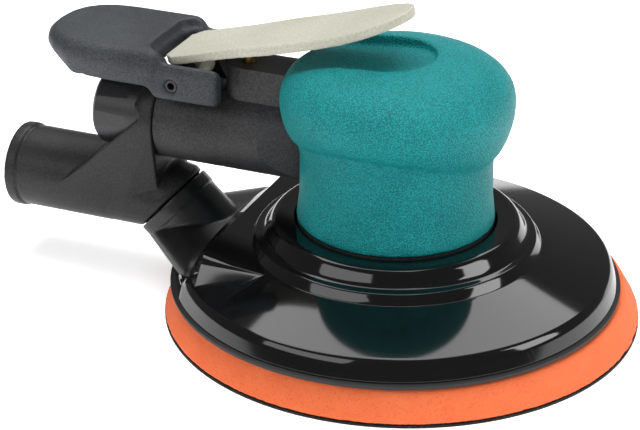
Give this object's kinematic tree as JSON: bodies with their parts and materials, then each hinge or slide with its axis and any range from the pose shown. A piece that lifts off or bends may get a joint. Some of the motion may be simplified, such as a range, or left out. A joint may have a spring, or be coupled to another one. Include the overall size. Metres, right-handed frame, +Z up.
{
  "type": "pneumatic random orbital sander",
  "caption": "Air-powered random orbital palm sander: round foam pad, vacuum shroud with rear hose duct, rubber grip, wrist rest and top throttle lever.",
  "frame": {"origin": "on the motor axis, at the working face of the sanding pad", "axes": "+Z up along the motor axis away from the work; the handle, the air inlet and the hose tube point along -X; +Y completes the right-handed frame"},
  "size_m": [0.2122, 0.1524, 0.103],
  "materials": {
    "housing": "moulded dark composite, satin",
    "grip_rubber": "teal over-moulded rubber, fine pebble",
    "lever": "off-white moulded plastic",
    "platform": "charcoal moulded plastic, fine grain",
    "steel": "bright machined steel",
    "dark_steel": "black oxide steel",
    "aluminium": "machined aluminium",
    "brass": "turned brass",
    "seal_rubber": "black seal rubber",
    "acetal": "white acetal",
    "vane_composite": "brown laminated vane",
    "shroud_plastic": "gloss black moulded plastic",
    "duct_plastic": "black moulded plastic",
    "plate_laminate": "glass-fibre laminate",
    "foam": "orange closed-cell foam",
    "hook": "black hook fabric"
  },
  "bodies": {
    "housing": {"motor_housing": "housing", "grip_cover": "grip_rubber", "lever_pin": "steel", "wrist_platform": "platform", "inlet_bushing": "dark_steel", "inlet_screen": "steel", "bushing_o_ring": "seal_rubber", "valve_o_ring": "seal_rubber", "valve_seat": "acetal", "valve_spring": "steel", "cylinder_liner": "steel", "upper_end_plate": "aluminium", "lower_end_plate": "aluminium", "upper_bearing": "steel", "lower_bearing": "steel", "motor_lock_ring": "aluminium", "cylinder_o_ring": "seal_rubber", "alignment_pin": "steel", "shroud": "shroud_plastic", "shroud_skirt": "seal_rubber", "shroud_clamp_ring": "dark_steel", "vacuum_connector": "duct_plastic", "vacuum_elbow": "duct_plastic", "elbow_o_ring": "seal_rubber"},
    "lever": {"throttle_lever": "lever"},
    "valve": {"valve_stem": "brass"},
    "crank": {"shaft_balancer": "steel", "rotor": "steel", "rotor_vanes": "vane_composite", "rotor_key": "steel", "spindle_bearings": "steel", "bearing_clip": "dark_steel"},
    "pad": {"pad_spindle": "steel", "pad_plate": "plate_laminate", "pad_foam": "foam", "pad_hook_face": "hook"}
  },
  "joints": [
    {"name": "lever_hinge", "type": "hinge", "parent": "housing", "child": "lever", "pos_m": [-0.069, 0, 0.0724], "axis": [0, 1, 0], "range_deg": [0, 9], "stiffness_Nm_per_rad": 0.6, "springref_deg": -14.32},
    {"name": "valve_slide", "type": "slide", "parent": "housing", "child": "valve", "axis": [0, 0, -1], "range_m": [0, 0.0033], "deforming": ["valve_spring"]},
    {"name": "motor_spin", "type": "hinge", "parent": "housing", "child": "crank", "pos_m": [0, 0, 0.03], "axis": [0, 0, 1], "continuous": true},
    {"name": "pad_spin", "type": "hinge", "parent": "crank", "child": "pad", "pos_m": [0.00161, 0.00192, 0.017], "axis": [0, 0, 1], "continuous": true}
  ],
  "couplings": [
    {"joint": "valve_slide", "follows": "lever_hinge", "m_per_rad": 0.0205}
  ]
}
